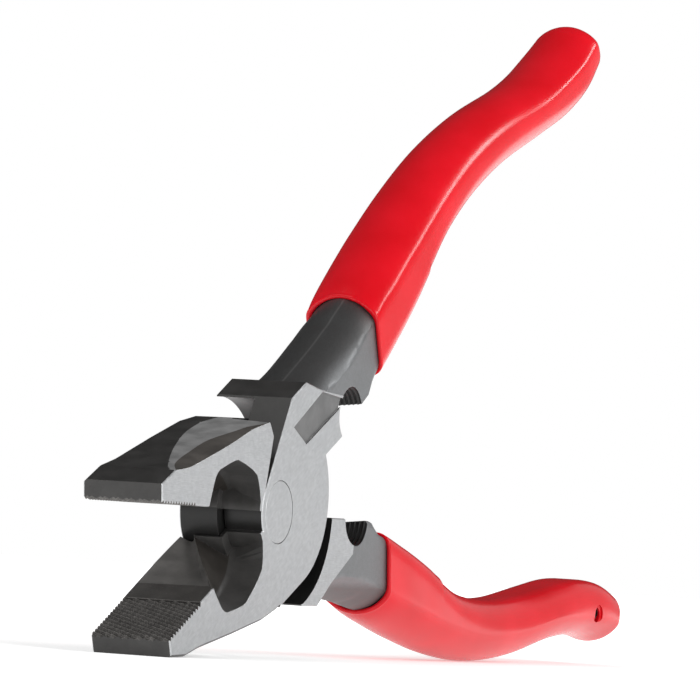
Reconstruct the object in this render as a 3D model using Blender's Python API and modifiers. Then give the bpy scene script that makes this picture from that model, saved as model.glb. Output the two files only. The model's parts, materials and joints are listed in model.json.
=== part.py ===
"""Lineman pliers with dipped grips, standing open on the lower jaw and the lower handle.

Two forged levers cross in a half-lapped joint and turn on one hot-set rivet. Each lever is
drawn closed, in its own frame: the pivot at the origin, the jaw towards -X below z = 0, the
handle towards +X above it, and its half of the joint disc on the -Y side. The rear lever is
the same forging turned over about X. Outlines are (x, z) in millimetres.
"""

import math

import bmesh
import bpy
from mathutils import Euler, Matrix, Vector

MM = 0.001

# Whole tool
HEAD_THICKNESS = 16.0
LAP_GAP = 0.3
CLOSED_JAW_GAP = 0.3
HALF_OPENING_DEG = 14.4
STANCE_TILT_DEG = 14.7

# Jaw
NOSE_X = -49.6
NOSE_HEIGHT = 3.8
JAW_OUTER_EDGE = [(-44.8, 6.5), (-39.0, 7.9), (-25.0, 12.4), (-13.4, 15.9)]
JAW_HEEL = (-6.7, 17.1)
V_GAP_TOP = (-4.4, 14.1)
V_GAP_FOOT = (-6.4, 4.2)

# Cutter hollow: its edge on the ground side face, and where the cutting edge meets the hub
HOLLOW_EDGE = [(-30.6, 0.0), (-28.3, 6.8), (-19.4, 9.3), (-10.3, 6.6), (-8.1, 0.0)]
CUTTING_EDGE_END = (-11.3, 5.0)

# Joint disc
DISC_CENTRE_X = 5.4
DISC_RADIUS = 17.4
SHOULDER_RADIUS = 18.7
FRONT_HUB_RADIUS = 7.4
REAR_HUB_RADIUS = 10.0
HUB_CLEARANCE = 0.4
SHOULDER_TOP = 17.5
DISC_FLANK_FOOT = (-3.3, 6.6)
DISC_FLANK_TOP = (13.1, SHOULDER_TOP)
HEAD_END_X = 19.8

# Half-round notch behind the joint, and the ground face's sloping limit
NOTCH_X = 35.6
NOTCH_RADIUS = 5.7
INNER_EDGE = 0.5
GROUND_FACE_END = (35.0, 6.9)

# Rivet, with countersunk ends hammered flush
RIVET_HEAD_RADIUS = 5.95
RIVET_SHANK_RADIUS = 4.7
RIVET_SINK_DEPTH = 2.5
RIVET_CLEARANCE = 0.08

# Bar sections along a lever: x, centre z, half height, half width, and the superellipse's powers
# on the outer and the inner side, where 2 is an ellipse and more is squarer. The neck is bare
# steel. The grip's sections are its outside, and its front ones are cut off at the rim.
NECK = [
    (22.0, 8.2, 7.6, 7.8, 3.0, 5.0),
    (35.0, 8.4, 7.8, 7.8, 3.0, 5.0),
    (43.0, 8.7, 8.1, 7.5, 3.0, 5.0),
]
GRIP = [
    (46.0, 9.2, 8.7, 7.8, 2.5, 4.2),
    (53.0, 10.7, 8.4, 7.9, 2.5, 4.2),
    (64.0, 13.8, 7.7, 8.4, 2.5, 3.4),
    (79.0, 17.8, 6.9, 8.4, 2.4, 2.8),
    (92.0, 20.4, 6.5, 8.2, 2.4, 2.4),
    (108.0, 21.7, 6.5, 8.0, 2.3, 2.4),
    (126.0, 21.0, 6.2, 8.0, 2.3, 2.3),
    (146.0, 18.1, 5.8, 8.1, 2.3, 2.3),
    (160.0, 16.5, 6.0, 7.8, 2.3, 2.3),
    (170.0, 16.7, 6.0, 7.8, 2.2, 2.2),
    (177.5, 18.0, 5.7, 7.5, 2.2, 2.2),
]
GRIP_RIM_X = 52.8
GRIP_WALL = 1.3
GRIP_GAP = 0.3
GRIP_END_LENGTH = 6.5
GRIP_END_WALL = 2.0

# Tether hole through the lower handle
TETHER_X = 165.0
TETHER_Z = 17.7
TETHER_RADIUS = 2.0

# Smoothness
DISC_SEGMENTS = 64
ARC_STEP_DEG = 6.0
SECTION_POINTS = 20
RINGS_PER_SPAN = 2
END_RINGS = 4

CUTTER_MARGIN = 1.0
OUTSIDE = 40.0


def remove_all_objects():
    for item in list(bpy.data.objects):
        bpy.data.objects.remove(item, do_unlink=True)


def new_collection(name, is_cutters=False):
    collection = bpy.data.collections.new(name)
    collection.hide_render = is_cutters
    bpy.context.scene.collection.children.link(collection)
    return collection


def new_material(name, colour, metallic, roughness):
    material = bpy.data.materials.new(name)
    material.use_nodes = True
    shader = material.node_tree.nodes["Principled BSDF"]
    shader.inputs["Base Color"].default_value = (*colour, 1.0)
    shader.inputs["Metallic"].default_value = metallic
    shader.inputs["Roughness"].default_value = roughness
    return material


def workpiece(name, data):
    """A new object on the bench: it starts among the cutters, and finish() makes it a part."""
    item = bpy.data.objects.new(name, data)
    item.display_type = "WIRE"
    CUTTERS.objects.link(item)
    return item


def arc(centre_x, centre_z, radius, start_deg, end_deg):
    """Points of an arc in the XZ plane, both ends included."""
    steps = max(1, round(abs(end_deg - start_deg) / ARC_STEP_DEG))
    points = []
    for step in range(steps + 1):
        angle = math.radians(start_deg + (end_deg - start_deg) * step / steps)
        points.append((centre_x + radius * math.cos(angle), centre_z + radius * math.sin(angle)))
    return points


def mirrored(points):
    """The same outline with the other sign of z."""
    return [(x, -z) for x, z in points]


def evaluated_mesh(item, name):
    """The object's finished mesh in world coordinates, with its seams welded."""
    bpy.context.view_layer.update()
    depsgraph = bpy.context.evaluated_depsgraph_get()
    mesh = bpy.data.meshes.new_from_object(item.evaluated_get(depsgraph))
    mesh.name = name
    mesh.transform(item.matrix_world)
    edit = bmesh.new()
    edit.from_mesh(mesh)
    bmesh.ops.remove_doubles(edit, verts=edit.verts, dist=0.00001)
    bmesh.ops.recalc_face_normals(edit, faces=edit.faces)
    edit.to_mesh(mesh)
    edit.free()
    return mesh


def slab(name, outline, low_y, high_y):
    """A flat outline in the XZ plane made solid between two heights on Y."""
    curve = bpy.data.curves.new(name, "CURVE")
    curve.dimensions = "2D"
    curve.fill_mode = "BOTH"
    curve.extrude = (high_y - low_y) / 2 * MM
    spline = curve.splines.new("POLY")
    spline.points.add(len(outline) - 1)
    for point, (x, z) in zip(spline.points, outline):
        point.co = (x * MM, z * MM, 0.0, 1.0)
    spline.use_cyclic_u = True
    source = workpiece(name, curve)
    source.location.y = (low_y + high_y) / 2 * MM
    source.rotation_euler.x = math.radians(90)
    mesh = evaluated_mesh(source, name)
    bpy.data.objects.remove(source)
    bpy.data.curves.remove(curve)
    return workpiece(name, mesh)


def drum(name, x, z, radius, half_length):
    """A cylinder along Y."""
    edit = bmesh.new()
    bmesh.ops.create_cone(
        edit,
        cap_ends=True,
        segments=DISC_SEGMENTS,
        radius1=radius * MM,
        radius2=radius * MM,
        depth=2 * half_length * MM,
        matrix=Matrix.Translation((x * MM, 0.0, z * MM)) @ Matrix.Rotation(math.radians(90), 4, "X"),
    )
    mesh = bpy.data.meshes.new(name)
    edit.to_mesh(mesh)
    edit.free()
    return workpiece(name, mesh)


def turned(name, profile):
    """A (radius, y) profile turned once about Y, capped at both ends."""
    mesh = bpy.data.meshes.new(name)
    points = [(0.0, profile[0][1])] + profile + [(0.0, profile[-1][1])]
    edit = bmesh.new()
    verts = [edit.verts.new((radius * MM, 0.0, -y * MM)) for radius, y in points]
    for first, second in zip(verts, verts[1:]):
        edit.edges.new((first, second))
    edit.to_mesh(mesh)
    edit.free()
    source = workpiece(name, mesh)
    screw = source.modifiers.new("turn", "SCREW")
    screw.steps = DISC_SEGMENTS
    screw.render_steps = DISC_SEGMENTS
    screw.use_merge_vertices = True
    screw.merge_threshold = 0.00001
    source.rotation_euler.x = math.radians(90)
    turned_mesh = evaluated_mesh(source, name)
    bpy.data.objects.remove(source)
    return workpiece(name, turned_mesh)


def smooth(stations, spans):
    """Catmull-Rom points through the stations, spans pieces between each two."""
    padded = [stations[0]] + stations + [stations[-1]]
    points = []
    for neighbours in zip(padded, padded[1:], padded[2:], padded[3:]):
        for step in range(spans):
            t = step / spans
            weights = (
                (-t + 2 * t**2 - t**3) / 2,
                (2 - 5 * t**2 + 3 * t**3) / 2,
                (t + 4 * t**2 - 3 * t**3) / 2,
                (-(t**2) + t**3) / 2,
            )
            points.append(tuple(
                sum(weight * value for weight, value in zip(weights, values))
                for values in zip(*neighbours)
            ))
    return points + [stations[-1]]


def section(half_height, half_width, outer_power, inner_power):
    """A superellipse as (across, up) points, with its own squareness on each side of the middle."""
    points = []
    for step in range(SECTION_POINTS):
        angle = 2 * math.pi * step / SECTION_POINTS
        cosine = math.cos(angle)
        sine = math.sin(angle)
        power = outer_power if sine > 0 else inner_power
        across = half_width * math.copysign(abs(cosine) ** (2 / power), cosine)
        up = half_height * math.copysign(abs(sine) ** (2 / power), sine)
        points.append((across, up))
    return points


def bar(name, stations):
    """A closed bar lofted through the stations along its centre line."""
    edit = bmesh.new()
    rings = []
    for index, (x, z, *shape) in enumerate(stations):
        before = stations[max(index - 1, 0)]
        after = stations[min(index + 1, len(stations) - 1)]
        along = Vector((after[0] - before[0], 0.0, after[1] - before[1])).normalized()
        up = Vector((-along.z, 0.0, along.x))
        centre = Vector((x, 0.0, z))
        ring = []
        for across, height in section(*shape):
            ring.append(edit.verts.new((centre + Vector((0.0, across, 0.0)) + up * height) * MM))
        rings.append(ring)
    for ring, following in zip(rings, rings[1:]):
        for side in range(SECTION_POINTS):
            turn = (side + 1) % SECTION_POINTS
            edit.faces.new((ring[side], ring[turn], following[turn], following[side]))
    edit.faces.new(rings[0])
    edit.faces.new(rings[-1])
    bmesh.ops.recalc_face_normals(edit, faces=edit.faces)
    mesh = bpy.data.meshes.new(name)
    edit.to_mesh(mesh)
    edit.free()
    return workpiece(name, mesh)


def rounded_end(stations, length):
    """The stations with a round end of the given length after the last one."""
    before_x, before_z = stations[-2][:2]
    x, z, half_height, half_width, *powers = stations[-1]
    slope = math.atan2(z - before_z, x - before_x)
    ended = list(stations)
    for step in range(1, END_RINGS + 1):
        angle = math.radians(85) * step / END_RINGS
        reach = length * math.sin(angle)
        shrink = math.cos(angle)
        ended.append((
            x + reach * math.cos(slope),
            z + reach * math.sin(slope),
            half_height * shrink,
            half_width * shrink,
            *powers,
        ))
    return ended


def inset(stations, amount):
    """The same bar, thinner all round by the amount."""
    return [(x, z, height - amount, width - amount, *powers) for x, z, height, width, *powers in stations]


def combine(target, tools, operation):
    """Joins the tools to the target or cuts them from it, and removes them."""
    for tool in tools:
        boolean = target.modifiers.new(operation.lower(), "BOOLEAN")
        boolean.operation = operation
        boolean.solver = "EXACT"
        boolean.object = tool
    mesh = evaluated_mesh(target, target.name)
    target.modifiers.clear()
    target.data = mesh
    for tool in tools:
        bpy.data.objects.remove(tool)


def jaw_outer_edge():
    """The jaw's outer edge from the heel forward to the gripping face, on the jaw's side of z = 0."""
    forward = list(reversed(JAW_OUTER_EDGE)) + [(NOSE_X - 0.5, NOSE_HEIGHT), (NOSE_X, CLOSED_JAW_GAP / 2)]
    return mirrored(forward)


def notch_arc():
    """The notch from the ground face's end down to the inner edge."""
    start = math.degrees(math.atan2(GROUND_FACE_END[1], GROUND_FACE_END[0] - NOTCH_X))
    end = 180 - math.degrees(math.asin(INNER_EDGE / NOTCH_RADIUS))
    return arc(NOTCH_X, 0.0, NOTCH_RADIUS, start, end)


def crossing(start, end, radius):
    """Where the line from start to end leaves the circle about the pivot."""
    run = Vector(end) - Vector(start)
    origin = Vector(start)
    along = origin.dot(run) / run.length_squared
    reach = (radius**2 - origin.length_squared) / run.length_squared
    step = -along + math.sqrt(along**2 + reach)
    point = origin + run * step
    return point.x, point.y


def lever_outline(hub_radius):
    """The lever's side view as far as the neck: jaw, hub, flank, shoulder, notch and joint disc."""
    flank_foot = crossing(DISC_FLANK_FOOT, DISC_FLANK_TOP, hub_radius)
    foot_angle = math.degrees(math.atan2(flank_foot[1], flank_foot[0]))
    jaw_angle = 180 + math.degrees(math.asin(CLOSED_JAW_GAP / 2 / hub_radius))
    hub = arc(0.0, 0.0, hub_radius, jaw_angle, foot_angle)
    flank = [DISC_FLANK_TOP, (HEAD_END_X, SHOULDER_TOP), GROUND_FACE_END]
    disc_top = math.degrees(math.asin(INNER_EDGE / DISC_RADIUS))
    rear = arc(DISC_CENTRE_X, 0.0, DISC_RADIUS, disc_top, -90)
    return hub + flank + notch_arc() + rear + jaw_outer_edge()


def lap_recess_outline(clear_radius):
    """What the other lap half leaves out: room for the other lever's hub, flank and disc."""
    foot = crossing(V_GAP_FOOT, V_GAP_TOP, clear_radius)
    foot_angle = 360 - math.degrees(math.atan2(foot[1], foot[0]))
    jaw_side = arc(0.0, 0.0, clear_radius, 180, foot_angle) + mirrored([V_GAP_TOP, JAW_HEEL])
    shoulder_top = math.degrees(math.asin(SHOULDER_TOP / SHOULDER_RADIUS))
    shoulder_foot = math.degrees(math.asin(INNER_EDGE / SHOULDER_RADIUS))
    shoulder = arc(DISC_CENTRE_X, 0.0, SHOULDER_RADIUS, shoulder_foot, shoulder_top)
    below = [(JAW_HEEL[0], -OUTSIDE), (OUTSIDE, -OUTSIDE), (OUTSIDE, 0.0), (shoulder[0][0], 0.0)]
    above = [(shoulder[-1][0], OUTSIDE), (-OUTSIDE, OUTSIDE), (-OUTSIDE, 0.0)]
    return jaw_side + below + shoulder + above


def cutter_hollow(hollow_side):
    """The wedge that leaves a cutting edge, open to the disc's side face (-1) or the other one (+1)."""
    face_y = hollow_side * (HEAD_THICKNESS / 2 + CUTTER_MARGIN)
    edit = bmesh.new()
    for x, z in mirrored(HOLLOW_EDGE):
        edit.verts.new(Vector((x, face_y, z)) * MM)
    edge_x, edge_y = CUTTING_EDGE_END
    for lift in (0.0, CUTTER_MARGIN):
        edit.verts.new(Vector((edge_x, -hollow_side * edge_y, lift)) * MM)
        edit.verts.new(Vector((HOLLOW_EDGE[0][0], face_y, lift)) * MM)
        edit.verts.new(Vector((HOLLOW_EDGE[-1][0], face_y, lift)) * MM)
    bmesh.ops.convex_hull(edit, input=edit.verts)
    mesh = bpy.data.meshes.new("cutter_hollow")
    edit.to_mesh(mesh)
    edit.free()
    return workpiece("cutter_hollow", mesh)


def rivet_profile(clearance, beyond=0.0):
    half = HEAD_THICKNESS / 2
    head = RIVET_HEAD_RADIUS + clearance
    shank = RIVET_SHANK_RADIUS + clearance
    sink = half - RIVET_SINK_DEPTH
    inner = [(head, half), (shank, sink), (shank, -sink), (head, -half)]
    if beyond:
        return [(head, half + beyond)] + inner + [(head, -half - beyond)]
    return inner


def tang_stations():
    """The steel bar: the neck, then the grip's own line, thinner by its wall and the gap."""
    return smooth(NECK + inset(GRIP, GRIP_WALL + GRIP_GAP), RINGS_PER_SPAN)


def lever(name, material, hub_radius, other_hub_radius, hollow_side, tether_hole):
    half = HEAD_THICKNESS / 2
    body = slab(name, lever_outline(hub_radius), -half, half)
    tang = bar("tang", rounded_end(tang_stations(), GRIP_END_LENGTH - GRIP_END_WALL))
    combine(body, [tang], "UNION")
    recess_outline = lap_recess_outline(other_hub_radius + HUB_CLEARANCE)
    tools = [
        slab("lap_recess", recess_outline, -LAP_GAP / 2, half + CUTTER_MARGIN),
        cutter_hollow(hollow_side),
        drum("notch", NOTCH_X, 0.0, NOTCH_RADIUS, half + CUTTER_MARGIN),
        turned("bore", rivet_profile(RIVET_CLEARANCE, CUTTER_MARGIN)),
    ]
    if tether_hole:
        tools.append(drum("tether_hole", TETHER_X, TETHER_Z, TETHER_RADIUS, HEAD_THICKNESS))
    combine(body, tools, "DIFFERENCE")
    return finish(body, material)


def grip(name, material, tether_hole):
    """A dipped sleeve with a round closed end, hollow for the steel it covers."""
    shell = bar(name, rounded_end(smooth(GRIP, RINGS_PER_SPAN), GRIP_END_LENGTH))
    hollow = inset(tang_stations()[RINGS_PER_SPAN:], -GRIP_GAP)
    rim_cut = [(0.0, -OUTSIDE), (GRIP_RIM_X, -OUTSIDE), (GRIP_RIM_X, OUTSIDE), (0.0, OUTSIDE)]
    tools = [
        bar("cavity", rounded_end(hollow, GRIP_END_LENGTH - GRIP_END_WALL + GRIP_GAP)),
        slab("rim_cut", rim_cut, -HEAD_THICKNESS, HEAD_THICKNESS),
    ]
    if tether_hole:
        tools.append(drum("tether_hole", TETHER_X, TETHER_Z, TETHER_RADIUS, HEAD_THICKNESS))
    combine(shell, tools, "DIFFERENCE")
    return finish(shell, material)


def finish(item, material):
    """Moves a piece from the cutters to the tool's own collection and gives it its material."""
    CUTTERS.objects.unlink(item)
    PARTS.objects.link(item)
    item.display_type = "TEXTURED"
    item.data.materials.clear()
    item.data.materials.append(material)
    return item


def empty(name, parent, rotation):
    item = bpy.data.objects.new(name, None)
    PARTS.objects.link(item)
    item.parent = parent
    item.rotation_euler = rotation
    return item


def stand_on_origin(stance, pieces):
    """Moves the stance so that the box round the pieces stands on the origin, centred."""
    bpy.context.view_layer.update()
    corners = [piece.matrix_world @ vert.co for piece in pieces for vert in piece.data.vertices]
    low_x = min(corner.x for corner in corners)
    high_x = max(corner.x for corner in corners)
    low_z = min(corner.z for corner in corners)
    stance.location = (-(low_x + high_x) / 2, 0.0, -low_z)


remove_all_objects()
PARTS = new_collection("lineman_pliers")
CUTTERS = new_collection("cutters", is_cutters=True)

steel = new_material("satin_steel", (0.42, 0.42, 0.43), 1.0, 0.38)
rivet_steel = new_material("rivet_steel", (0.5, 0.5, 0.51), 1.0, 0.34)
plastisol = new_material("red_plastisol", (0.72, 0.02, 0.035), 0.0, 0.22)

front_lever = lever("front_lever", steel, FRONT_HUB_RADIUS, REAR_HUB_RADIUS, -1, False)
rear_lever = lever("rear_lever", steel, REAR_HUB_RADIUS, FRONT_HUB_RADIUS, 1, True)
upper_grip = grip("upper_grip", plastisol, False)
lower_grip = grip("lower_grip", plastisol, True)
pivot_rivet = finish(turned("pivot_rivet", rivet_profile(0.0)), rivet_steel)

half_opening = math.radians(HALF_OPENING_DEG)
stance = empty("stance", None, Euler((0.0, -math.radians(STANCE_TILT_DEG), 0.0)))
front_half = empty("front_half", stance, Euler((0.0, -half_opening, 0.0)))
rear_half = empty("rear_half", stance, Euler((math.pi, half_opening, 0.0)))
for piece in (front_lever, upper_grip, pivot_rivet):
    piece.parent = front_half
for piece in (rear_lever, lower_grip):
    piece.parent = rear_half
stand_on_origin(stance, (front_lever, rear_lever, upper_grip, lower_grip, pivot_rivet))
bpy.context.view_layer.update()
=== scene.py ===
"""Lineman pliers: the looks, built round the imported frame.

Each lever is modelled closed, in its own frame in millimetres: the pivot at the origin, the jaw
towards -X below z = 0, the handle towards +X above it, and its half of the lap joint on the -Y
side. Both levers are one forging, and the rear one is turned over about X. Outlines are (x, z).
"""

import json
import math

import bmesh
import bpy
from mathutils import Matrix, Vector


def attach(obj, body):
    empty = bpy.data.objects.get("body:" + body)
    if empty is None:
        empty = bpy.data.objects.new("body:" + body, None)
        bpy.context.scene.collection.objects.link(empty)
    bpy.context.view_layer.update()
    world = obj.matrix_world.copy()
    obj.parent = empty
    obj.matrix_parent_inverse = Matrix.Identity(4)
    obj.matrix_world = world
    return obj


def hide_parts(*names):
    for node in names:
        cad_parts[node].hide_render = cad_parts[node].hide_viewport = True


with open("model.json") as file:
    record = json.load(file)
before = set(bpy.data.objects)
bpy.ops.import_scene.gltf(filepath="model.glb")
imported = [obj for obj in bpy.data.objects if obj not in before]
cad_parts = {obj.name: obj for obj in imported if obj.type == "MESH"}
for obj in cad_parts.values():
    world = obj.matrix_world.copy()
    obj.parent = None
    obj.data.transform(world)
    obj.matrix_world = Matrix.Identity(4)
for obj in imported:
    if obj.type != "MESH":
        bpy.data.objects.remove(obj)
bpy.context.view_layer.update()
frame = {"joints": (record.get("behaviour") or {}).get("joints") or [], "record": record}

MM = 0.001

# Head
HALF_THICKNESS = 8.0
LAP_GAP = 0.3
EDGE_BREAK = 0.22
JAW_GAP = 0.3
NOSE = [(-44.8, 6.5), (-50.1, 3.8), (-49.6, JAW_GAP / 2)]
JAW_BACK = [(-39.0, 7.9), (-25.0, 12.4), (-13.4, 15.9), (-6.7, 17.1)]
V_GAP_TOP = (-4.4, 14.1)
V_GAP_FOOT = (-6.6, 4.2)
HUB_RADIUS = {"front_lever": 7.4, "rear_lever": 10.0}
HUB_CLEARANCE = 0.4
DISC_X = 5.4
DISC_RADIUS = 17.4
SHOULDER_RADIUS = 18.7
SHOULDER_TOP = 17.5
FLANK_FOOT = (-3.3, 6.6)
FLANK_TOP = (13.1, SHOULDER_TOP)
HEAD_END = [(19.8, SHOULDER_TOP), (25.4, 13.2), (34.9, 7.3)]
INNER_EDGE = 0.5
PAD = [(11.5, 12.1), (15.4, 6.5), (30.8, 6.2), (34.2, 6.9), (25.5, 12.7)]
PAD_DEPTH = 0.35

# Jaw's relieved back: where the relief and its lower band start, as (x, y) across the jaw
RELIEF_EDGE = [(-45.2, 8.1), (-43.2, 5.5), (-35.5, 2.0), (-28.0, -0.6), (-20.0, -2.6), (-13.0, -2.9), (-6.0, -2.6)]
BAND_EDGE = [(-45.2, 8.3), (-43.2, 6.9), (-38.7, 4.8), (-31.4, 4.0), (-23.6, 3.9), (-16.0, 5.9), (-6.0, 8.3)]
RELIEF_SLOPE = 0.05
BAND_SLOPE = 0.21
BACK_BEVEL = 0.6

# Gripping teeth
TEETH_START = -50.4
TEETH_END = -35.6
TEETH_PITCH = 1.08
TEETH_DEPTH = 0.72
TEETH_CROSSINGS = 6
TEETH_OFFSET = 0.035
FACE_END = -30.4

# Cutter: the hollow's edge on the ground face, the foot of the blade's wall, and the blade's line
HOLLOW_EDGE = [
    (-30.6, -0.6), (-29.8, 1.9), (-28.5, 5.5), (-27.2, 7.0), (-22.8, 8.4), (-19.4, 9.3),
    (-15.7, 8.5), (-12.3, 7.5), (-10.3, 6.5), (-9.1, 4.2), (-7.6, -0.6),
]
WALL_FOOT = [
    (-29.2, 7.3, 1.6), (-26.6, 6.2, 4.4), (-24.0, 4.8, 6.2), (-21.1, 3.4, 7.2), (-17.0, 2.8, 7.4),
    (-13.1, 2.4, 6.8), (-9.4, 1.8, 5.2), (-6.5, 1.4, 3.4),
]
BLADE_START = (-30.8, -8.0)
BLADE_END = (-11.3, 5.1)
BLADE_REACH = (-7.5, 7.7)
HOLLOW_STOP = 8.5
HUB_GUARD_RADIUS = 10.9
HUB_GUARD_Y = -0.9
SCOOP_DEPTH = 1.6

# Half-round notch with ridges along its wall
NOTCH_X = 35.7
NOTCH_Z = 0.1
NOTCH_LEAN = 2.5
INNER_LEAN = 0.11
NOTCH_RADIUS = 5.45
RIDGE_PITCH = 1.0
RIDGE_HEIGHT = 0.3

# Rivet
RIVET_RADIUS = 5.95
RIVET_SHANK = 4.7
RIVET_SINK = 2.5
RIVET_CHAMFER = 0.14

# Handle sections: x, inner z, outer z, half width, corner radius on the inner and the outer side
NECK = [
    (15.0, 1.2, 15.4, 10.6, 2.0, 5.5),
    (20.0, 0.9, 15.6, 10.2, 2.0, 5.5),
    (26.0, 0.6, 15.8, 9.2, 1.2, 5.0),
    (32.0, 0.6, 16.0, 8.15, 0.9, 4.6),
    (38.0, 0.6, 16.3, 7.9, 0.9, 4.4),
    (43.4, 0.6, 16.8, 7.6, 0.9, 4.2),
    (46.0, 1.6, 17.0, 7.4, 1.0, 4.0),
    (49.5, 2.9, 17.6, 7.15, 1.5, 4.0),
]
GRIP = [
    (54.0, 2.6, 19.2, 7.85, 2.9, 4.3),
    (58.0, 4.0, 20.2, 8.1, 3.1, 4.4),
    (64.0, 5.9, 21.5, 8.35, 3.4, 4.6),
    (72.0, 8.3, 23.3, 8.4, 3.8, 4.7),
    (79.0, 10.6, 24.7, 8.4, 4.2, 4.8),
    (92.0, 13.8, 26.9, 8.2, 5.0, 5.0),
    (108.0, 15.2, 28.2, 8.0, 5.6, 5.2),
    (126.0, 14.8, 27.2, 8.0, 5.6, 5.3),
    (146.0, 12.3, 23.9, 8.1, 5.4, 4.8),
    (160.0, 10.5, 22.5, 7.9, 5.2, 3.9),
    (170.0, 10.7, 22.7, 7.9, 5.2, 3.9),
    (177.5, 12.3, 23.7, 7.5, 5.2, 4.3),
]
FLASH_OFFSET = 0.9
GRIP_WALL = 0.9
GRIP_GAP = 0.05
END_REACH = 5.7
JOG_START_X = 60.0
JOG_X = 79.0
JOG_HEIGHT = 0.55
TANG_LENGTH = 4.2
RIM_LEAN_DEG = -8.0
NECK_PEAK_DEG = 7.0
GRIP_EASING = 2
CROWN_STEPS = 12
SECTION_POINTS = 84
SPAN_RINGS = 6

TETHER = (165.0, 17.7)
TETHER_RADIUS = 1.6
TETHER_MOUTH = 2.15
TETHER_STEP_Y = 7.35

LENS = 286.7
CAMERA_FROM_PIVOT = (-0.94846, -0.45163, -0.00634)
CAMERA_FORWARD = (0.90977, 0.41357, 0.03587)
CAMERA_RIGHT = (0.41098, -0.90950, 0.06244)

FILL_BRIGHTNESS = 0.52
ROOM_BRIGHTNESS = 0.04

ARC_STEP_DEG = 3.0
ROUND_SEGMENTS = 96
CLEAR = 1.0
FAR = 40.0


# ---------------------------------------------------------------- materials


def new_material(name):
    material = bpy.data.materials.new(name)
    material.use_nodes = True
    return material


class Nodes:
    """Adds nodes to a material or world, and joins them by passing sockets or values as inputs."""

    def __init__(self, owner, shader="Principled BSDF"):
        self.tree = owner.node_tree
        self.shader = self.tree.nodes[shader]

    def add(self, kind, inputs=None, output=0, **settings):
        node = self.tree.nodes.new(kind)
        for name, value in settings.items():
            setattr(node, name, value)
        for name, value in (inputs or {}).items():
            self.put(node, name, value)
        return node.outputs[output]

    def put(self, node, name, value):
        if isinstance(value, bpy.types.NodeSocket):
            self.tree.links.new(value, node.inputs[name])
        else:
            node.inputs[name].default_value = value

    def own(self):
        """The lever's own coordinates, in millimetres."""
        return self.add("ShaderNodeAttribute", output="Vector", attribute_name="own")

    def stretched(self, scale, turn=(0.0, 0.0, 0.0)):
        return self.add("ShaderNodeMapping", {"Vector": self.own(), "Scale": scale, "Rotation": turn})

    def noise(self, vector, scale=1.0, detail=3.0, roughness=0.5):
        inputs = {"Vector": vector, "Scale": scale, "Detail": detail, "Roughness": roughness}
        return self.add("ShaderNodeTexNoise", inputs, output="Fac")

    def spread(self, value, low, high, bottom=0.0, top=1.0):
        inputs = {"Value": value, "From Min": low, "From Max": high, "To Min": bottom, "To Max": top}
        return self.add("ShaderNodeMapRange", inputs)

    def mix(self, factor, first, second):
        node = self.tree.nodes.new("ShaderNodeMix")
        node.data_type = "RGBA"
        self.put(node, 0, factor)
        self.put(node, 6, first)
        self.put(node, 7, second)
        return node.outputs[2]

    def math(self, operation, first, second):
        node = self.tree.nodes.new("ShaderNodeMath")
        node.operation = operation
        self.put(node, 0, first)
        self.put(node, 1, second)
        return node.outputs[0]

    def bump(self, height, strength, distance, normal=None):
        inputs = {"Height": height, "Strength": strength, "Distance": distance * MM}
        if normal is not None:
            inputs["Normal"] = normal
        return self.add("ShaderNodeBump", inputs)

    def bevel(self, radius):
        node = self.tree.nodes.new("ShaderNodeBevel")
        node.samples = 4
        node.inputs["Radius"].default_value = radius * MM
        return node.outputs[0]

    def edges(self, radius):
        """1 along the edges, 0 on the faces between them."""
        shading = self.add("ShaderNodeNewGeometry", output="Normal")
        turned = self.add("ShaderNodeVectorMath", {0: self.bevel(radius), 1: shading}, "Value",
                          operation="DOT_PRODUCT")
        return self.spread(turned, 0.985, 0.85)

    def finish(self, **inputs):
        for name, value in inputs.items():
            self.put(self.shader, name.replace("_", " "), value)


def grey(value, warmth=0.0):
    return (value * (1 + warmth), value, value * (1 - warmth), 1.0)


def ground_steel(name, light=0.64, dark=0.46):
    """Bare steel ground to a fine satin, with short scratches along the head and a painted highlight along its
    edges.
    """
    material = new_material(name)
    nodes = Nodes(material)
    scratches = nodes.noise(nodes.stretched((0.5, 3.0, 7.0), (0.0, 0.35, 0.0)), 1.0, 4.0, 0.65)
    crossing = nodes.noise(nodes.stretched((0.35, 2.0, 4.0), (0.0, -0.5, 0.0)), 1.0, 3.0, 0.6)
    cloud = nodes.noise(nodes.own(), 0.12, 3.0, 0.6)
    marks = nodes.math("ADD", nodes.math("MULTIPLY", scratches, 0.65), nodes.math("MULTIPLY", crossing, 0.35))
    tone = nodes.mix(nodes.spread(marks, 0.36, 0.64), grey(dark, -0.02), grey(light, -0.015))
    tone = nodes.mix(nodes.spread(cloud, 0.35, 0.75, 0.0, 0.3), tone, grey(dark, -0.03))
    mottle = nodes.noise(nodes.own(), 0.9, 4.0, 0.7)
    tone = nodes.mix(nodes.spread(mottle, 0.4, 0.7, 0.0, 0.45), tone, grey(dark * 0.85, -0.02))
    # Lighter along the edges: a painted highlight.
    tone = nodes.mix(nodes.math("MULTIPLY", nodes.edges(0.15), 0.6), tone, grey(0.9))
    roughness = nodes.spread(marks, 0.3, 0.7, 0.36, 0.5)
    normal = nodes.bump(marks, 0.35, 0.02, nodes.bevel(0.12))
    nodes.finish(Base_Color=tone, Metallic=1.0, Roughness=roughness, Normal=normal)
    return material


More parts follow.
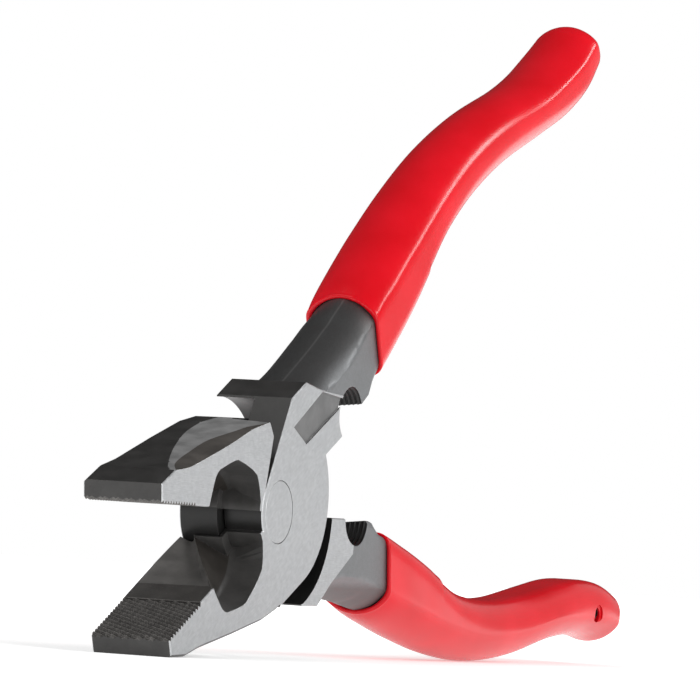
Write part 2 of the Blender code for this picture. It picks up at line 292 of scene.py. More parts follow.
def oxide_steel(name, tone, warmth, roughness, metallic=0.35, grain=0.5, lift=1.5, edge_wear_and_highlight=0.45):
    """Forged steel under black oxide: mottled, finely pitted, and lighter along the edges, partly rubbed wear and
    partly a painted highlight.
    """
    material = new_material(name)
    nodes = Nodes(material)
    cloud = nodes.noise(nodes.own(), 0.22, 4.0, 0.6)
    grit = nodes.noise(nodes.own(), 5.0, 3.0, 0.65)
    speck = nodes.spread(nodes.noise(nodes.own(), 3.4, 2.0, 0.5), 0.62, 0.72)
    colour = nodes.mix(nodes.spread(cloud, 0.35, 0.65), grey(tone * 0.82, warmth), grey(tone * 1.16, warmth))
    colour = nodes.mix(nodes.math("MULTIPLY", speck, 0.25), colour, grey(tone * lift, warmth))
    # Lighter along the edges by the given share: rubbed wear plus a painted highlight.
    colour = nodes.mix(nodes.math("MULTIPLY", nodes.edges(0.2), edge_wear_and_highlight), colour, grey(tone * lift * 2, warmth))
    rough = nodes.spread(cloud, 0.3, 0.7, roughness - 0.05, roughness + 0.06)
    normal = nodes.bump(grit, grain, 0.02, nodes.bevel(0.18))
    nodes.finish(Base_Color=colour, Metallic=metallic, Roughness=rough, Normal=normal)
    return material


def forged_neck(name):
    """Scaled and blasted forging, fine grained, with the trimmed flash line along the crown and painted shade
    darkening the crown.
    """
    material = new_material(name)
    nodes = Nodes(material)
    grain = nodes.noise(nodes.own(), 7.0, 4.0, 0.7)
    blotch = nodes.noise(nodes.own(), 1.1, 3.0, 0.6)
    colour = nodes.mix(nodes.spread(grain, 0.3, 0.7), grey(0.17, -0.02), grey(0.31, -0.03))
    colour = nodes.mix(nodes.spread(blotch, 0.35, 0.75, 0.0, 0.35), colour, grey(0.17, 0.0))
    across = nodes.add("ShaderNodeSeparateXYZ", {"Vector": nodes.own()}, "Y")
    off_line = nodes.math("ABSOLUTE", nodes.math("ADD", across, FLASH_OFFSET), 0.0)
    flash = nodes.math("MULTIPLY", nodes.spread(off_line, 0.3, 0.08), nodes.spread(grain, 0.3, 0.6, 0.3, 0.8))
    colour = nodes.mix(flash, colour, grey(0.5))
    height = nodes.add("ShaderNodeSeparateXYZ", {"Vector": nodes.own()}, "Z")
    # Darker over the crown: painted shade where the top faces away from the light.
    colour = nodes.mix(nodes.spread(height, 12.6, 14.0, 0.0, 0.55), colour, grey(0.07, 0.06))
    rough = nodes.spread(grain, 0.3, 0.7, 0.44, 0.56)
    normal = nodes.bump(blotch, 0.25, 0.05, nodes.bump(grain, 0.7, 0.02, nodes.bevel(0.25)))
    nodes.finish(Base_Color=colour, Metallic=0.85, Roughness=rough, Normal=normal)
    return material


def dipped_plastisol(name):
    """Glossy red dipped coating, with the faint waviness of a poured surface."""
    material = new_material(name)
    nodes = Nodes(material)
    wave = nodes.noise(nodes.own(), 0.09, 2.0, 0.4)
    fine = nodes.noise(nodes.own(), 1.4, 2.0, 0.5)
    colour = nodes.mix(nodes.spread(wave, 0.3, 0.7), (0.61, 0.003, 0.009, 1.0), (0.69, 0.005, 0.014, 1.0))
    rough = nodes.spread(fine, 0.3, 0.7, 0.18, 0.25)
    normal = nodes.bump(fine, 0.05, 0.03, nodes.bump(wave, 0.2, 0.2))
    nodes.finish(Base_Color=colour, Roughness=rough, Normal=normal)
    nodes.finish(IOR=1.46)
    nodes.put(nodes.shader, "Specular IOR Level", 0.32)
    nodes.put(nodes.shader, "Subsurface Weight", 0.08)
    nodes.put(nodes.shader, "Subsurface Radius", (1.0, 0.12, 0.06))
    nodes.put(nodes.shader, "Subsurface Scale", 0.6 * MM)
    return material


GROUND, OXIDE, FORGED, RELIEF, BAND, HOLLOW, BLADE, TEETH, NOTCH_AND_GAP_SHADE, STAMPED, SCOOP = range(11)
STEELS = [
    ground_steel("ground_steel"),
    oxide_steel("black_oxide", 0.048, 0.03, 0.42),
    forged_neck("forged_neck"),
    oxide_steel("relief_ground", 0.34, 0.0, 0.44, metallic=0.5),
    oxide_steel("relief_band", 0.11, 0.09, 0.5, metallic=0.5),
    oxide_steel("hollow_oxide", 0.075, 0.03, 0.42, edge_wear_and_highlight=0.0),
    oxide_steel("blade_oxide", 0.04, 0.12, 0.4, edge_wear_and_highlight=0.0),
    oxide_steel("teeth_oxide", 0.1, 0.05, 0.42, metallic=0.5, grain=1.0, lift=3.0),
    # Near-black steel: the notch's own unground oxide, and painted shade in the joint's gaps and the tether hole.
    oxide_steel("notch_oxide_and_gap_shade", 0.02, 0.02, 0.35),
    oxide_steel("stamped_pad", 0.16, 0.0, 0.45, metallic=0.6),
    oxide_steel("scoop_oxide", 0.16, 0.04, 0.42, edge_wear_and_highlight=0.0),
]


# ---------------------------------------------------------------- shapes


def arc(centre_x, centre_z, radius, start_deg, end_deg):
    """Points of an arc in the XZ plane, both ends included."""
    steps = max(1, round(abs(end_deg - start_deg) / ARC_STEP_DEG))
    points = []
    for step in range(steps + 1):
        angle = math.radians(start_deg + (end_deg - start_deg) * step / steps)
        points.append((centre_x + radius * math.cos(angle), centre_z + radius * math.sin(angle)))
    return points


def mirrored(points):
    return [(x, -z) for x, z in points]


def smooth(stations, spans):
    """Catmull-Rom points through the stations, spans pieces between each two."""
    padded = [stations[0]] + list(stations) + [stations[-1]]
    points = []
    for neighbours in zip(padded, padded[1:], padded[2:], padded[3:]):
        for step in range(spans):
            t = step / spans
            weights = (
                (-t + 2 * t**2 - t**3) / 2,
                (2 - 5 * t**2 + 3 * t**3) / 2,
                (t + 4 * t**2 - 3 * t**3) / 2,
                (-(t**2) + t**3) / 2,
            )
            points.append(tuple(
                sum(weight * value for weight, value in zip(weights, values))
                for values in zip(*neighbours)
            ))
    return points + [tuple(stations[-1])]


def lookup(points, x):
    """The second value at x, along straight lines between (x, value) points in rising x."""
    if x <= points[0][0]:
        return points[0][1]
    for (x0, v0), (x1, v1) in zip(points, points[1:]):
        if x <= x1:
            return v0 + (v1 - v0) * (x - x0) / (x1 - x0)
    return points[-1][1]


def crossing(start, end, radius):
    """Where the line from start to end leaves the circle about the pivot."""
    run = Vector(end) - Vector(start)
    origin = Vector(start)
    along = origin.dot(run) / run.length_squared
    reach = (radius**2 - origin.length_squared) / run.length_squared
    point = origin + run * (-along + math.sqrt(along**2 + reach))
    return point.x, point.y


def piece(name, edit, steel=None):
    """A mesh object from a bmesh, with the steels as its slots and every face in one of them."""
    bmesh.ops.recalc_face_normals(edit, faces=edit.faces)
    if steel is not None:
        for face in edit.faces:
            face.material_index = steel
    mesh = bpy.data.meshes.new(name)
    edit.to_mesh(mesh)
    edit.free()
    for material in STEELS:
        mesh.materials.append(material)
    item = bpy.data.objects.new(name, mesh)
    bpy.context.scene.collection.objects.link(item)
    return item


def prism(name, outline, low_y, high_y, steel, cap_steel=None, edge_break=0.0):
    """An (x, z) outline made solid along Y, with broken edges round its two faces."""
    edit = bmesh.new()
    verts = [edit.verts.new((x, low_y, z)) for x, z in outline]
    bmesh.ops.remove_doubles(edit, verts=verts, dist=0.05)
    low = edit.faces.new([vert for vert in verts if vert.is_valid])
    raised = bmesh.ops.extrude_face_region(edit, geom=[low])["geom"]
    bmesh.ops.translate(
        edit,
        verts=[item for item in raised if isinstance(item, bmesh.types.BMVert)],
        vec=(0.0, high_y - low_y, 0.0),
    )
    bmesh.ops.recalc_face_normals(edit, faces=edit.faces)
    if edge_break:
        rims = [edge for edge in edit.edges if edge.verts[0].co.y == edge.verts[1].co.y]
        bmesh.ops.bevel(edit, geom=rims, offset=edge_break, segments=1, affect="EDGES", profile=0.5)
    edit.normal_update()
    for face in edit.faces:
        face.material_index = steel
        if cap_steel is not None and abs(face.normal.y) > 0.5:
            face.material_index = cap_steel
    return piece(name, edit)


def revolve(name, profile, x, z, steel):
    """A (radius, y) profile turned about a line along Y and capped at both ends."""
    edit = bmesh.new()
    rings = []
    for radius, y in profile:
        ring = []
        for step in range(ROUND_SEGMENTS):
            angle = 2 * math.pi * step / ROUND_SEGMENTS
            ring.append(edit.verts.new((x + radius * math.cos(angle), y, z + radius * math.sin(angle))))
        rings.append(ring)
    skin(edit, rings)
    return piece(name, edit, steel)


def skin(edit, rings, capped=True):
    """Quads between rings of equal length, with a face over each end."""
    for ring, following in zip(rings, rings[1:]):
        for side in range(len(ring)):
            turn = (side + 1) % len(ring)
            edit.faces.new((ring[side], ring[turn], following[turn], following[side]))
    if capped:
        edit.faces.new(rings[0])
        edit.faces.new(list(reversed(rings[-1])))


def combine(target, tool, operation):
    """Joins the tool to the target, or cuts it away, and removes the tool."""
    boolean = target.modifiers.new(tool.name, "BOOLEAN")
    boolean.operation = operation
    boolean.solver = "EXACT"
    boolean.object = tool
    bpy.context.view_layer.update()
    depsgraph = bpy.context.evaluated_depsgraph_get()
    mesh = bpy.data.meshes.new_from_object(target.evaluated_get(depsgraph))
    target.modifiers.clear()
    target.data = mesh
    bpy.data.objects.remove(tool)


# ---------------------------------------------------------------- handle sections


def rounded_corner(x, z, radius, start_deg, steps=6):
    points = []
    for step in range(steps + 1):
        angle = math.radians(start_deg + 90.0 * step / steps)
        points.append((x + radius * math.cos(angle), z + radius * math.sin(angle)))
    return points


def section(inner, outer, half_width, inner_radius, rise, peak_deg=0.0):
    """A handle's cross-section as (y, z): flat inner side and flanks under an arch with a slight peak."""
    peak = math.radians(peak_deg)
    reach = 2 * math.atan2(rise, half_width) - peak
    radius = half_width / (math.sin(reach) - math.sin(peak))
    crown = []
    for step in range(CROWN_STEPS + 1):
        angle = peak + (reach - peak) * step / CROWN_STEPS
        y = radius * (math.sin(angle) - math.sin(peak))
        crown.append((y, outer - radius * (math.cos(peak) - math.cos(angle))))
    corner = min(inner_radius, half_width - 0.1, outer - rise - inner - 0.05)
    bend = rounded_corner(half_width - corner, inner + corner, corner, 270.0)[::-1]
    right = crown + bend
    left = [(-y, z) for y, z in right[::-1] if y > 0.0]
    return even(right + left)


def even(points):
    """The same closed outline with evenly spaced points, from the same first point."""
    closed = points + [points[0]]
    lengths = [0.0]
    for (y0, z0), (y1, z1) in zip(closed, closed[1:]):
        lengths.append(lengths[-1] + math.hypot(y1 - y0, z1 - z0))
    spaced = []
    index = 0
    for step in range(SECTION_POINTS):
        target = lengths[-1] * step / SECTION_POINTS
        while lengths[index + 1] < target:
            index += 1
        share = (target - lengths[index]) / max(lengths[index + 1] - lengths[index], 1e-9)
        (y0, z0), (y1, z1) = closed[index], closed[index + 1]
        spaced.append((y0 + (y1 - y0) * share, z0 + (z1 - z0) * share))
    return spaced


def eased(points, passes):
    """The outline with its corners a little rounded off."""
    for _ in range(passes):
        before = points[-1:] + points[:-1]
        after = points[1:] + points[:1]
        points = [
            ((a[0] + 2 * b[0] + c[0]) / 4, (a[1] + 2 * b[1] + c[1]) / 4)
            for a, b, c in zip(before, points, after)
        ]
    return points


def station_ring(edit, station, slope, peak_deg=0.0, widest=None):
    """Verts of one cross-section, square to the handle's slope."""
    x, inner, outer, *shape = station
    middle = (inner + outer) / 2
    points = section(inner, outer, *shape, peak_deg)
    if not peak_deg:
        points = eased(points, GRIP_EASING)
    ring = []
    for y, z in points:
        if widest is not None:
            y = max(-widest, min(widest, y))
        rise = z - middle
        ring.append(edit.verts.new((x - rise * math.sin(slope), y, middle + rise * math.cos(slope))))
    return ring


def slopes(stations):
    """Each station's slope in the XZ plane: the rim's own lean, turning into the handle's line."""
    angles = []
    for index, station in enumerate(stations):
        before = stations[max(index - 1, 0)]
        after = stations[min(index + 1, len(stations) - 1)]
        rise = (after[1] + after[2] - before[1] - before[2]) / 2
        angle = math.atan2(rise, after[0] - before[0])
        ease = min(1.0, max(0.0, (station[0] - GRIP[0][0]) / 12.0))
        angles.append(angle * ease + math.radians(RIM_LEAN_DEG) * (1 - ease))
    return angles


def end_cap(edit, station, slope, reach, rings=8):
    """Rings that close a handle's end with a round nose."""
    x, inner, outer, half_width, inner_radius, rise = station
    middle = (inner + outer) / 2
    half_height = (outer - inner) / 2
    made = []
    for step in range(1, rings + 1):
        angle = math.radians(88.0) * step / rings
        shrink = math.cos(angle)
        along = reach * math.sin(angle)
        centre = middle + along * math.sin(slope)
        shape = (
            x + along * math.cos(slope),
            centre - half_height * shrink,
            centre + half_height * shrink,
            half_width * shrink,
            inner_radius * shrink,
            rise * shrink,
        )
        made.append(station_ring(edit, shape, slope))
    return made


def inset(station, amount):
    x, inner, outer, half_width, inner_radius, rise = station
    return (x, inner + amount, outer - amount, half_width - amount, max(inner_radius - amount, 0.6), rise)


def tang(name):
    """The handle's steel from inside the head to its round end under the grip."""
    covered = [inset(station, GRIP_WALL + GRIP_GAP) for station in GRIP]
    stations = smooth(NECK + covered, SPAN_RINGS)
    angles = slopes(stations)
    edit = bmesh.new()
    rings = []
    for station, slope in zip(stations, angles):
        lean = slope if station[0] > GRIP[0][0] else 0.0
        rings.append(station_ring(edit, station, lean, NECK_PEAK_DEG, HALF_THICKNESS - 0.03))
    rings += end_cap(edit, stations[-1], angles[-1], TANG_LENGTH)
    skin(edit, rings)
    return piece(name, edit, FORGED)


# ---------------------------------------------------------------- lever


def notch_arc():
    start = math.degrees(math.atan2(HEAD_END[-1][1], HEAD_END[-1][0] - NOTCH_X))
    end = 180 - math.degrees(math.asin(INNER_EDGE / (NOTCH_RADIUS + RIDGE_HEIGHT)))
    return arc(NOTCH_X, 0.0, NOTCH_RADIUS - 0.4, start, end)


def head_outline(hub_radius):
    """The head's side view: hub, flank, shoulder, notch, joint disc and jaw."""
    foot = crossing(FLANK_FOOT, FLANK_TOP, hub_radius)
    foot_angle = math.degrees(math.atan2(foot[1], foot[0]))
    jaw_angle = 180 + math.degrees(math.asin(JAW_GAP / 2 / hub_radius))
    hub = arc(0.0, 0.0, hub_radius, jaw_angle, foot_angle)
    disc_top = math.degrees(math.asin(INNER_EDGE / DISC_RADIUS))
    disc = arc(DISC_X, 0.0, DISC_RADIUS, disc_top, -90)
    jaw = mirrored(JAW_BACK[::-1] + NOSE)
    return hub + [FLANK_TOP] + HEAD_END + notch_arc() + disc + jaw


def lap_recess(hub_radius):
    """Room for the other lever's half of the joint, open to +Y."""
    clear = hub_radius + HUB_CLEARANCE
    foot = crossing(V_GAP_FOOT, V_GAP_TOP, clear)
    foot_angle = 360 - math.degrees(math.atan2(foot[1], foot[0]))
    jaw_side = arc(0.0, 0.0, clear, 180, foot_angle) + mirrored([V_GAP_TOP, JAW_BACK[-1]])
    top = math.degrees(math.asin(SHOULDER_TOP / SHOULDER_RADIUS))
    low = math.degrees(math.asin(INNER_EDGE / SHOULDER_RADIUS))
    shoulder = arc(DISC_X, 0.0, SHOULDER_RADIUS, low, top)
    below = [(JAW_BACK[-1][0], -FAR), (FAR, -FAR), (FAR, 0.0), (shoulder[0][0], 0.0)]
    above = [(shoulder[-1][0], FAR), (-FAR, FAR), (-FAR, 0.0)]
    outline = jaw_side + below + shoulder + above
    # The recess's faces take the near-black notch steel: painted shade between the levers.
    return prism("lap_recess", outline, -LAP_GAP / 2, HALF_THICKNESS + CLEAR, NOTCH_AND_GAP_SHADE)


def back_cutter(name, columns, side):
    """Cuts the jaw's back down to a surface given by columns of (y of x, drop of x, steel)."""
    back = [(NOSE[0][0] - 7.0, NOSE[0][1] - 3.5), NOSE[0]] + JAW_BACK
    rows = []
    edit = bmesh.new()
    count = 56
    for row in range(count):
        x = back[0][0] + 1.0 + (JAW_BACK[-1][0] + 0.8 - back[0][0] - 1.0) * row / (count - 1)
        height = lookup(back, x)
        low = [edit.verts.new((x, side * y(x), -(height - drop(x)))) for y, drop, _ in columns]
        high = [edit.verts.new((x, side * y(x), -(height + 6.0))) for y, _, _ in reversed(columns)]
        rows.append(low + high)
    skin(edit, rows)
    across = len(columns) - 1
    sides = 2 * len(columns)
    for index, face in enumerate(edit.faces):
        column = index % sides
        face.material_index = columns[column][2] if column < across else OXIDE
    return piece(name, edit)


def relief_cutter():
    """The hollow-ground relief on the jaw's back, with a steeper band along its ground face."""
    def edge(x):
        return lookup(RELIEF_EDGE_LINE, x)

    def band(x):
        return lookup(BAND_EDGE_LINE, x)

    def fall(x):
        return max(0.0, band(x) - edge(x)) * RELIEF_SLOPE

    columns = [
        (lambda x: edge(x) - 1.0, lambda x: -RELIEF_SLOPE, RELIEF),
        (edge, lambda x: 0.0, RELIEF),
        (band, fall, BAND),
        (lambda x: max(9.4, band(x) + 0.4), lambda x: fall(x) + (9.4 - min(band(x), 9.0)) * BAND_SLOPE, OXIDE),
    ]
    return back_cutter("relief", columns, 1)


def back_bevel():
    """The bevel along the jaw's back on the joint's side."""
    start = HALF_THICKNESS - BACK_BEVEL
    columns = [
        (lambda x: start - 0.4, lambda x: -0.4, OXIDE),
        (lambda x: start, lambda x: 0.0, OXIDE),
        (lambda x: HALF_THICKNESS + CLEAR, lambda x: BACK_BEVEL + CLEAR, OXIDE),
    ]
    return back_cutter("back_bevel", columns, -1)


def along_line(points, share):
    """The point at a share of a polyline's length."""
    lengths = [0.0]
    for first, second in zip(points, points[1:]):
        lengths.append(lengths[-1] + (second - first).length)
    target = share * lengths[-1]
    for index, (first, second) in enumerate(zip(points, points[1:])):
        if target <= lengths[index + 1]:
            return first.lerp(second, (target - lengths[index]) / (lengths[index + 1] - lengths[index]))
    return points[-1]


def hollow_row(edit, side, blade, foot, rim):
    """Across the hollow: down the blade's wall, round its foot, and up the floor to the ground face."""
    bend_in = foot.lerp(blade, 0.1)
    bend_out = foot.lerp(rim, 0.1)
    deepest = (bend_in + bend_out + foot * 2) / 4
    spots = [Vector((blade.x, blade.y, -CLEAR)), blade, bend_in, deepest, bend_out, rim]
    spots.append(Vector((rim.x, rim.y, -CLEAR)))
    return [edit.verts.new((spot.x, side * spot.y, -spot.z)) for spot in spots]


def cutter_hollow(side):
    """The hollow beside the blade: a steep wall under the blade's line, then a floor to the face."""
    rim = [Vector((x, HALF_THICKNESS + 0.1, z)) for x, z in HOLLOW_EDGE]
    foot = [Vector(point) for point in smooth(WALL_FOOT, 6)]
    blade = [Vector((x, -y, 0.0)) for x, y in (BLADE_START, BLADE_END, BLADE_REACH)]
    edit = bmesh.new()
    rows = []
    count = 3 * (len(rim) - 1)
    for row in range(count + 1):
        share = row / count
        rows.append(hollow_row(edit, side, along_line(blade, share), along_line(foot, share),
                               along_line(rim, share)))
    skin(edit, rows)
    bmesh.ops.triangulate(edit, faces=[face for face in edit.faces if len(face.verts) > 4])
    across = len(rows[0])
    for index, face in enumerate(edit.faces):
        face.material_index = BLADE if index % across < 2 else HOLLOW
    hollow = piece("cutter_hollow", edit)
    stop = [(HOLLOW_STOP, -FAR), (HOLLOW_STOP, FAR)]
    combine(hollow, revolve("hollow_stop", stop, 0.0, 0.0, HOLLOW), "DIFFERENCE")
    combine(hollow, hub_guard(side), "DIFFERENCE")
    return hollow


def hub_guard(side):
    """The metal round the joint, on the half away from the hollow's rim, which stays whole."""
    if side < 0:
        profile = [(HUB_GUARD_RADIUS, HUB_GUARD_Y), (HUB_GUARD_RADIUS, FAR)]
    else:
        own_hub = HUB_RADIUS["rear_lever"] + 0.08
        profile = [(own_hub, -FAR), (own_hub, -LAP_GAP / 2)]
    return revolve("hub_guard", profile, 0.0, 0.0, HOLLOW)


def blade_scoop(side):
    """The shallow hollow on the blade's other side, between the gripping face and the hub."""
    edit = bmesh.new()
    rows = []
    across = 14
    along = 20
    start = Vector((FACE_END + 0.9, -side * (BLADE_START[1] + 1.2)))
    stop = Vector((BLADE_END[0] + 1.4, -side * (BLADE_END[1] + 0.3)))
    far_start = Vector((FACE_END + 0.4, -side * (HALF_THICKNESS + CLEAR)))
    far_stop = Vector((-8.5, -side * (HALF_THICKNESS + CLEAR)))
    for row in range(along + 1):
        u = row / along
        near = start.lerp(stop, u)
        far = far_start.lerp(far_stop, u)
        low = []
        for column in range(across + 1):
            v = column / across
            spot = near.lerp(far, v)
            depth = SCOOP_DEPTH * math.sin(math.pi * v**0.5) * math.sin(math.pi / 2 * min(1.0, u * 1.6))
            low.append(edit.verts.new((spot.x, spot.y, -JAW_GAP / 2 - depth - 0.02)))
        high = [edit.verts.new((near.lerp(far, v).x, near.lerp(far, v).y, CLEAR)) for v in (1.0, 0.0)]
        rows.append(low + high)
    skin(edit, rows)
    scoop = piece("blade_scoop", edit, SCOOP)
    if side > 0:
        combine(scoop, hub_guard(side), "DIFFERENCE")
    return scoop


def tooth_grooves(name, lean):
    """One set of V grooves across the gripping face, leaning one way."""
    edit = bmesh.new()
    half = HALF_THICKNESS + CLEAR
    drift = lean * TEETH_CROSSINGS * TEETH_PITCH / (2 * HALF_THICKNESS) * half
    count = int((TEETH_END - TEETH_START) / TEETH_PITCH) + TEETH_CROSSINGS + 2
    width = TEETH_PITCH * 0.46
    face = -JAW_GAP / 2
    for index in range(-TEETH_CROSSINGS, count):
        middle = TEETH_START + index * TEETH_PITCH + lean * TEETH_OFFSET
        rings = []
        for y, shift in ((-half, -drift), (half, drift)):
            x = middle + shift
            corners = (
                (x - width, face + CLEAR),
                (x - width, face),
                (x, face - TEETH_DEPTH),
                (x + width, face),
                (x + width, face + CLEAR),
            )
            rings.append([edit.verts.new((cx, y, cz)) for cx, cz in corners])
        if middle - abs(drift) > TEETH_END or middle + abs(drift) < TEETH_START - 1.0:
            bmesh.ops.delete(edit, geom=rings[0] + rings[1], context="VERTS")
            continue
        skin(edit, rings)
    groove_set = piece(name, edit, TEETH)
    limit = prism("groove_limit", [(TEETH_START - 3, -2), (TEETH_END, -2), (TEETH_END, 2), (TEETH_START - 3, 2)],
                  -half + 0.2, half - 0.2, TEETH)
    combine(groove_set, limit, "INTERSECT")
    return groove_set


def notch_cutter():
    """A round bar with ridges along its length, higher on the joint's side than on the other."""
    profile = []
    half = HALF_THICKNESS + CLEAR
    steps = int(2 * half / RIDGE_PITCH) * 6
    for step in range(steps + 1):
        y = -half + 2 * half * step / steps
        wave = abs(math.sin(math.pi * y / RIDGE_PITCH))
        profile.append((NOTCH_RADIUS + RIDGE_HEIGHT * wave, y))
    bar = revolve("notch", profile, NOTCH_X, NOTCH_Z, NOTCH_AND_GAP_SHADE)
    for vert in bar.data.vertices:
        vert.co.z += NOTCH_LEAN * (HALF_THICKNESS - vert.co.y) / (2 * HALF_THICKNESS)
    return bar


def inner_cutter():
    """Behind the notch the neck's inner side rises towards the joint's side."""
    edit = bmesh.new()
    for x in (NOTCH_X, NOTCH_X + 17.0):
        for y in (-HALF_THICKNESS - CLEAR, HALF_THICKNESS + CLEAR):
            edit.verts.new((x, y, -CLEAR))
            edit.verts.new((x, y, INNER_EDGE + INNER_LEAN * (HALF_THICKNESS - y)))
    bmesh.ops.convex_hull(edit, input=edit.verts)
    return piece("inner", edit, FORGED)


def rivet_profile(clearance, beyond):
    head = RIVET_RADIUS + clearance
    shank = RIVET_SHANK + clearance
    sink = HALF_THICKNESS - RIVET_SINK
    inner = [(head, -HALF_THICKNESS), (shank, -sink), (shank, sink), (head, HALF_THICKNESS)]
    return [(head, -HALF_THICKNESS - beyond)] + inner + [(head, HALF_THICKNESS + beyond)]


def pad_cutter():
    return prism("pad", PAD, -HALF_THICKNESS - CLEAR, -HALF_THICKNESS + PAD_DEPTH, STAMPED)


def lever(node, hollow_side, other_hub, tether):
    body = prism(node + "_steel", head_outline(HUB_RADIUS[node]), -HALF_THICKNESS, HALF_THICKNESS, OXIDE,
                 GROUND, EDGE_BREAK)
    combine(body, tang("tang"), "UNION")
    tools = [
        lap_recess(other_hub),
        relief_cutter(),
        back_bevel(),
        cutter_hollow(hollow_side),
        blade_scoop(hollow_side),
        tooth_grooves("grooves_one_way", 1),
        tooth_grooves("grooves_other_way", -1),
        inner_cutter(),
        notch_cutter(),
        revolve("bore", rivet_profile(0.06, CLEAR), 0.0, 0.0, OXIDE),
        pad_cutter(),
    ]
    if tether:
        hole = TETHER_RADIUS + GRIP_GAP
        # The hole's wall takes the near-black notch steel: painted shade inside the hole.
        tools.append(revolve("tether", [(hole, -FAR), (hole, FAR)], *TETHER, NOTCH_AND_GAP_SHADE))
    for tool in tools:
        combine(body, tool, "DIFFERENCE")
    for face in body.data.polygons:
        if face.normal.z > 0.9 and face.center.z > -JAW_GAP and face.center.x < FACE_END:
            face.material_index = TEETH
        # Faces round the joint turn to the near-black notch steel: painted shade in the joint's gaps.
        within_joint = math.hypot(face.center.x, face.center.z) < HUB_RADIUS[node] + 0.1
        if within_joint and face.material_index == OXIDE:
            face.material_index = NOTCH_AND_GAP_SHADE
    return body


def rivet():
    profile = rivet_profile(0.0, 0.0)[1:-1]
    face = HALF_THICKNESS
    inner = [(radius, y) for radius, y in profile if abs(y) < face]
    ends = [(RIVET_RADIUS - RIVET_CHAMFER, face), (RIVET_RADIUS, face - RIVET_CHAMFER)]
    profile = [(r, -y) for r, y in ends] + inner + [(r, y) for r, y in ends[::-1]]
    return revolve("pivot_rivet_steel", profile, 0.0, 0.0, GROUND)


# ---------------------------------------------------------------- grip


def jogged(station):
    """The station with the coating's thicker part in front of the jog on the inner side."""
    x, inner, *rest = station
    lead = max(0.0, (x - JOG_START_X) / (JOG_X - JOG_START_X))
    share = min(1.0, max(0.0, (x - JOG_X) / 1.2 + 0.5))
    return (x, inner - JOG_HEIGHT * lead * (1 - share * share * (3 - 2 * share)), *rest)


def grip_stations():
    stations = smooth(GRIP, SPAN_RINGS)
    extra = []
    for first, second in zip(stations, stations[1:]):
        extra.append(first)
        if first[0] < JOG_X + 2 and second[0] > JOG_X - 2:
            for share in (0.2, 0.4, 0.6, 0.8):
                extra.append(tuple(a + (b - a) * share for a, b in zip(first, second)))
    return extra + [stations[-1]]


def grip(node, tether):
    """A dipped sleeve with a rolled rim and a round closed end."""
    stations = grip_stations()
    angles = slopes(stations)
    edit = bmesh.new()
    cavity = end_cap(edit, inset(stations[-1], GRIP_WALL), angles[-1], TANG_LENGTH + GRIP_GAP)[::-1]
    for station, slope in list(zip(stations, angles))[::-1]:
        cavity.append(station_ring(edit, inset(station, GRIP_WALL), slope))
    rim = []
    wall = GRIP_WALL / 2
    for step in range(1, 8):
        angle = math.pi * step / 8
        depth = wall + wall * 1.12 * math.cos(angle)
        front = inset(stations[0], depth)
        rim.append(station_ring(edit, (front[0] - 1.1 * wall * math.sin(angle), *front[1:]), angles[0]))
    outside = []
    for station, slope in zip(stations, angles):
        outside.append(station_ring(edit, jogged(station), slope))
    outside += end_cap(edit, stations[-1], angles[-1], END_REACH, 12)
    skin(edit, cavity + rim + outside)
    sleeve = piece(node + "_coating", edit)
    if tether:
        add_tether_hole(sleeve)
    return sleeve


def add_tether_hole(sleeve):
    """A hole through both walls of the grip with a stepped mouth on each side."""
    step = (TETHER_MOUTH, TETHER_STEP_Y + 0.2)
    half = [(TETHER_RADIUS, TETHER_STEP_Y), step, (TETHER_MOUTH, FAR)]
    profile = [(radius, -y) for radius, y in reversed(half)] + half
    combine(sleeve, revolve("drill", profile, *TETHER, 0), "DIFFERENCE")


# ---------------------------------------------------------------- assembly


def placement(node):
    """From a lever's own millimetres to the row frame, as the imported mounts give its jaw's face."""
    pivot = Vector(frame["joints"][0]["pos_m"])
    mounts = {mount["name"]: mount for mount in frame["record"]["mounts"]}
    if node == "front_lever":
        face = mounts["lower_jaw_face"]["axis"]
        turn = Matrix.Rotation(math.atan2(face[0], face[2]), 4, "Y")
    else:
        face = mounts["upper_jaw_face"]["axis"]
        turn = Matrix.Rotation(math.atan2(-face[0], -face[2]), 4, "Y") @ Matrix.Rotation(math.pi, 4, "X")
    return Matrix.Translation(pivot) @ turn @ Matrix.Scale(MM, 4)


def settle(item, place, node, body, sharp_deg, material=None):
    """Keeps the own coordinates for the materials, puts the piece in place and lets it ride."""
    mesh = item.data
    own = mesh.attributes.new("own", "FLOAT_VECTOR", "POINT")
    own.data.foreach_set("vector", [value for vert in mesh.vertices for value in vert.co])
    if material is not None:
        mesh.materials.clear()
        mesh.materials.append(material)
    mesh.transform(place)
    mesh.shade_smooth()
    mesh.set_sharp_from_angle(angle=math.radians(sharp_deg))
    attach(item, body)
    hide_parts(node)


RELIEF_EDGE_LINE = smooth(RELIEF_EDGE, 5)
BAND_EDGE_LINE = smooth(BAND_EDGE, 5)

front_place = placement("front_lever")
rear_place = placement("rear_lever")
plastisol = dipped_plastisol("dipped_plastisol")

settle(lever("front_lever", -1, HUB_RADIUS["rear_lever"], False), front_place, "front_lever", "front_half",
       30)
settle(lever("rear_lever", 1, HUB_RADIUS["front_lever"], True), rear_place, "rear_lever", "rear_half",
       30)
settle(rivet(), front_place, "pivot_rivet", "front_half", 30)
settle(grip("upper_grip", False), front_place, "upper_grip", "front_half", 50, plastisol)
settle(grip("lower_grip", True), rear_place, "lower_grip", "rear_half", 50, plastisol)


# ---------------------------------------------------------------- stage, light and camera


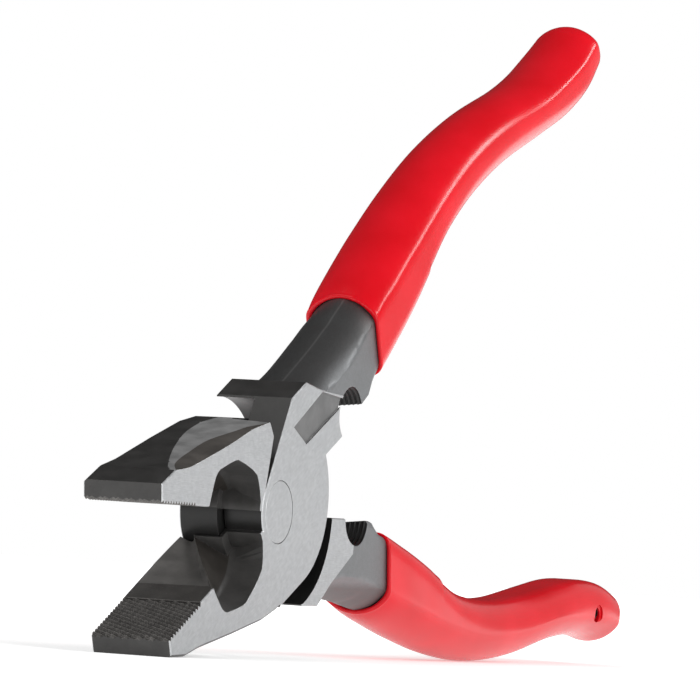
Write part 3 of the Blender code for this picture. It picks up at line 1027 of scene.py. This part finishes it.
def floor():
    bpy.ops.mesh.primitive_plane_add(size=6.0, location=(0.0, 0.0, 0.0))
    item = bpy.context.object
    item.name = "floor"
    material = new_material("pale_floor")
    nodes = Nodes(material)
    distance = nodes.add("ShaderNodeVectorMath", {0: nodes.add("ShaderNodeNewGeometry", output="Position")},
                         "Value", operation="LENGTH")
    glow = nodes.spread(distance, 0.1, 0.4, 0.42, 1.0)
    nodes.finish(Base_Color=(0.86, 0.86, 0.86, 1.0), Roughness=0.7)
    nodes.finish(Emission_Color=(1.0, 1.0, 1.0, 1.0), Emission_Strength=glow)
    item.data.materials.append(material)


def softbox(name, toward, distance, size, along, brightness, aim):
    """An area light facing the aim point, its long side along a direction and equally bright at any size."""
    facing = Vector(toward).normalized()
    side = Vector(along)
    side = (side - facing * side.dot(facing)).normalized()
    light = bpy.data.lights.new(name, "AREA")
    light.shape = "RECTANGLE"
    light.size, light.size_y = size
    light.energy = brightness * math.pi * size[0] * size[1]
    item = bpy.data.objects.new(name, light)
    turn = Matrix((side, facing.cross(side), facing)).transposed().to_4x4()
    item.matrix_world = Matrix.Translation(aim + facing * distance) @ turn
    item.visible_camera = False
    bpy.context.scene.collection.objects.link(item)


def surroundings():
    """White to the camera, a soft fill to matt surfaces, and a dark room to be mirrored in glossy ones."""
    world = bpy.data.worlds.new("studio")
    bpy.context.scene.world = world
    world.use_nodes = True
    nodes = Nodes(world, "Background")
    mirrored_ray = nodes.add("ShaderNodeLightPath", output="Is Glossy Ray")
    camera_ray = nodes.add("ShaderNodeLightPath", output="Is Camera Ray")
    room = nodes.spread(mirrored_ray, 0.0, 1.0, FILL_BRIGHTNESS, ROOM_BRIGHTNESS)
    seen = nodes.math("MULTIPLY", nodes.math("SUBTRACT", 1.0, room), camera_ray)
    nodes.finish(Color=(1.0, 1.0, 1.0, 1.0), Strength=nodes.math("ADD", room, seen))


def camera(pivot):
    """The photographer's view: from low in front of the jaws, with a long lens, slightly rolled."""
    data = bpy.data.cameras.new("camera")
    data.sensor_width = 36.0
    data.lens = LENS
    data.clip_start = 0.05
    data.clip_end = 20.0
    item = bpy.data.objects.new("camera", data)
    forward = Vector(CAMERA_FORWARD).normalized()
    right = Vector(CAMERA_RIGHT)
    right = (right - forward * right.dot(forward)).normalized()
    up = right.cross(forward)
    turn = Matrix((right, up, -forward)).transposed().to_4x4()
    item.matrix_world = Matrix.Translation(pivot + Vector(CAMERA_FROM_PIVOT)) @ turn
    bpy.context.scene.collection.objects.link(item)
    bpy.context.scene.camera = item


pivot = Vector(frame["joints"][0]["pos_m"])
floor()
surroundings()
softbox("strip", (0.13, -0.83, 0.5), 0.9, (1.8, 0.1), (0.87, 0.0, 0.49), 11.5, pivot)
softbox("side", (0.93, -0.4, 0.12), 1.1, (0.9, 1.2), (0.0, 0.0, 1.0), 0.44, pivot)
softbox("top", (-0.55, 0.35, 0.75), 1.0, (0.8, 0.8), (0.0, 1.0, 0.0), 1.25, pivot)
camera(pivot)
bpy.context.scene.view_settings.view_transform = "Standard"
